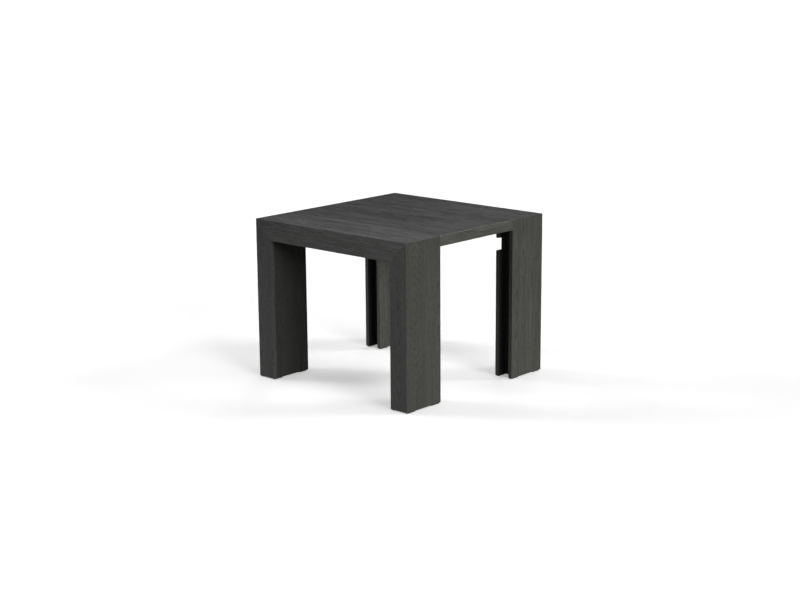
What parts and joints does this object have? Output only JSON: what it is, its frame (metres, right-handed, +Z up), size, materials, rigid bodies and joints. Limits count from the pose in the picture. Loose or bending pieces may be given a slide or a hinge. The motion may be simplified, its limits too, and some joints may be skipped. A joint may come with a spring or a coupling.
{
  "type": "extending dining table",
  "caption": "Square dining table with two mitred end frames that slide apart on telescoping bars, a lift-off leaf between them and a centre leg frame nested in the near legs.",
  "frame": {"origin": "centre of the table's footprint on the floor, with the leaf in and the near frame closed up", "axes": "+X from the near end frame to the far end frame, the way the table extends; +Y to the left side seen from the near end; +Z up"},
  "size_m": [0.9586, 0.94, 0.762],
  "materials": {
    "charcoal_veneer": "open-grain veneer stained charcoal, satin lacquer",
    "raw_wood": "unfinished softwood and panel inside the frames",
    "slide_alloy": "anodised extrusion",
    "zinc_steel": "zinc plated",
    "black_plastic": "matt nylon",
    "white_plastic": "matt nylon"
  },
  "bodies": {
    "far_frame": {"far_top_board": "charcoal_veneer", "far_rail_board": "charcoal_veneer", "far_left_leg_face": "charcoal_veneer", "far_right_leg_face": "charcoal_veneer", "far_left_outer_board": "charcoal_veneer", "far_right_outer_board": "charcoal_veneer", "far_left_inner_board": "charcoal_veneer", "far_right_inner_board": "charcoal_veneer", "far_recess_boards": "charcoal_veneer", "far_inner_rail": "raw_wood", "far_foot_blocks": "raw_wood", "far_floor_glides": "black_plastic", "far_slide_blocks": "raw_wood", "far_slide_screws": "zinc_steel", "leaf_ledge": "raw_wood", "leaf_studs": "zinc_steel", "slide_bars_9": "slide_alloy", "slide_glides_9": "white_plastic"},
    "near_frame": {"near_top_board": "charcoal_veneer", "near_rail_board": "charcoal_veneer", "near_left_leg_face": "charcoal_veneer", "near_right_leg_face": "charcoal_veneer", "near_left_outer_board": "charcoal_veneer", "near_right_outer_board": "charcoal_veneer", "near_left_inner_board": "charcoal_veneer", "near_right_inner_board": "charcoal_veneer", "near_recess_boards": "charcoal_veneer", "near_inner_rail": "raw_wood", "near_foot_blocks": "raw_wood", "near_floor_glides": "black_plastic", "near_slide_blocks": "raw_wood", "near_slide_screws": "zinc_steel", "slide_bars_1": "slide_alloy"},
    "leaf": {"leaf_top_board": "charcoal_veneer", "leaf_left_edge_board": "charcoal_veneer", "leaf_right_edge_board": "charcoal_veneer", "leaf_bottom_board": "raw_wood", "leaf_ribs": "raw_wood", "leaf_bushes": "white_plastic"},
    "centre_frame": {"slide_bars_5": "slide_alloy", "slide_glides_5": "white_plastic", "centre_left_leg": "charcoal_veneer", "centre_right_leg": "charcoal_veneer", "centre_crossbar": "charcoal_veneer", "centre_plates": "zinc_steel", "centre_bolts": "zinc_steel", "centre_dowels": "raw_wood", "centre_floor_glides": "black_plastic"},
    "slide_stage_2": {"slide_bars_2": "slide_alloy", "slide_glides_2": "white_plastic"},
    "slide_stage_3": {"slide_bars_3": "slide_alloy", "slide_glides_3": "white_plastic"},
    "slide_stage_4": {"slide_bars_4": "slide_alloy", "slide_glides_4": "white_plastic"},
    "slide_stage_6": {"slide_bars_6": "slide_alloy", "slide_glides_6": "white_plastic"},
    "slide_stage_7": {"slide_bars_7": "slide_alloy", "slide_glides_7": "white_plastic"},
    "slide_stage_8": {"slide_bars_8": "slide_alloy", "slide_glides_8": "white_plastic"}
  },
  "joints": [
    {"name": "near_frame_slide", "type": "slide", "parent": "far_frame", "child": "near_frame", "axis": [-1, 0, 0], "range_m": [0, 2.038]},
    {"name": "leaf_lift", "type": "slide", "parent": "far_frame", "child": "leaf", "axis": [0, 0, 1], "range_m": [0, 0.3]},
    {"name": "slide_stage_2_slide", "type": "slide", "parent": "far_frame", "child": "slide_stage_2", "axis": [-1, 0, 0], "range_m": [0, 1.7135]},
    {"name": "slide_stage_3_slide", "type": "slide", "parent": "far_frame", "child": "slide_stage_3", "axis": [-1, 0, 0], "range_m": [0, 1.3889]},
    {"name": "slide_stage_4_slide", "type": "slide", "parent": "far_frame", "child": "slide_stage_4", "axis": [-1, 0, 0], "range_m": [0, 1.0644]},
    {"name": "centre_frame_slide", "type": "slide", "parent": "far_frame", "child": "centre_frame", "axis": [-1, 0, 0], "range_m": [0, 0.7398]},
    {"name": "slide_stage_6_slide", "type": "slide", "parent": "far_frame", "child": "slide_stage_6", "axis": [-1, 0, 0], "range_m": [0, 0.5549]},
    {"name": "slide_stage_7_slide", "type": "slide", "parent": "far_frame", "child": "slide_stage_7", "axis": [-1, 0, 0], "range_m": [0, 0.3699]},
    {"name": "slide_stage_8_slide", "type": "slide", "parent": "far_frame", "child": "slide_stage_8", "axis": [-1, 0, 0], "range_m": [0, 0.185]}
  ],
  "couplings": [
    {"joint": "slide_stage_2_slide", "follows": "near_frame_slide", "ratio": 0.84075},
    {"joint": "slide_stage_3_slide", "follows": "near_frame_slide", "ratio": 0.6815},
    {"joint": "slide_stage_4_slide", "follows": "near_frame_slide", "ratio": 0.52225},
    {"joint": "centre_frame_slide", "follows": "near_frame_slide", "ratio": 0.363},
    {"joint": "slide_stage_6_slide", "follows": "near_frame_slide", "ratio": 0.27225},
    {"joint": "slide_stage_7_slide", "follows": "near_frame_slide", "ratio": 0.1815},
    {"joint": "slide_stage_8_slide", "follows": "near_frame_slide", "ratio": 0.09075}
  ]
}
